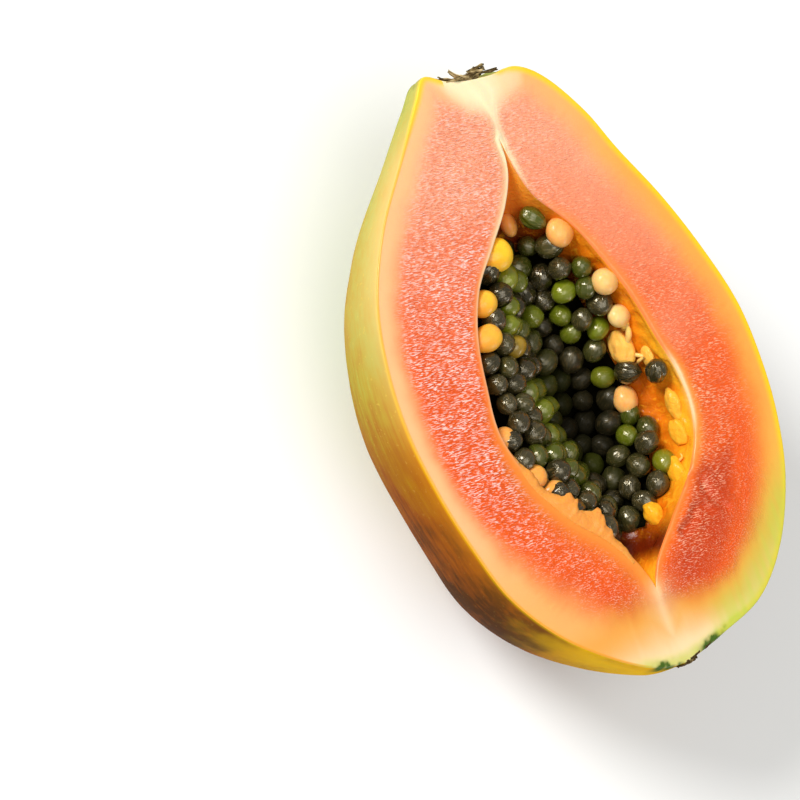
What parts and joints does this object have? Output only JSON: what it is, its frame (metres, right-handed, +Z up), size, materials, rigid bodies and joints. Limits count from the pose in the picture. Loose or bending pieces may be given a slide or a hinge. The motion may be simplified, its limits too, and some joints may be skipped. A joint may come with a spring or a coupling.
{
  "type": "papaya half",
  "caption": "Half of a ripe papaya cut lengthways: green and gold rind, salmon flesh, a pointed oval hollow of dark seeds and pale unripe ones, dry scars at both ends.",
  "frame": {"origin": "on the surface that the half rests on, under the middle of its bounding box", "axes": "+Y from the blossom end to the stem end, along the fruit's length; +Z up, out of the cut face; +X to the right across the cut face"},
  "size_m": [0.1163, 0.1757, 0.0668],
  "materials": {
    "fruit": "moist salmon-orange flesh with a waxy green and gold rind",
    "seed_skin": "wet, grey-black to dark green, wrinkled",
    "dry_scar": "dry, papery, tan",
    "dark_scar": "dry, dark brown"
  },
  "bodies": {
    "root": {"half_fruit": "fruit", "seeds": "seed_skin", "lone_seed_1": "seed_skin", "lone_seed_2": "seed_skin", "lone_seed_3": "seed_skin", "stem_scar": "dry_scar", "blossom_scar": "dark_scar"}
  },
  "joints": []
}
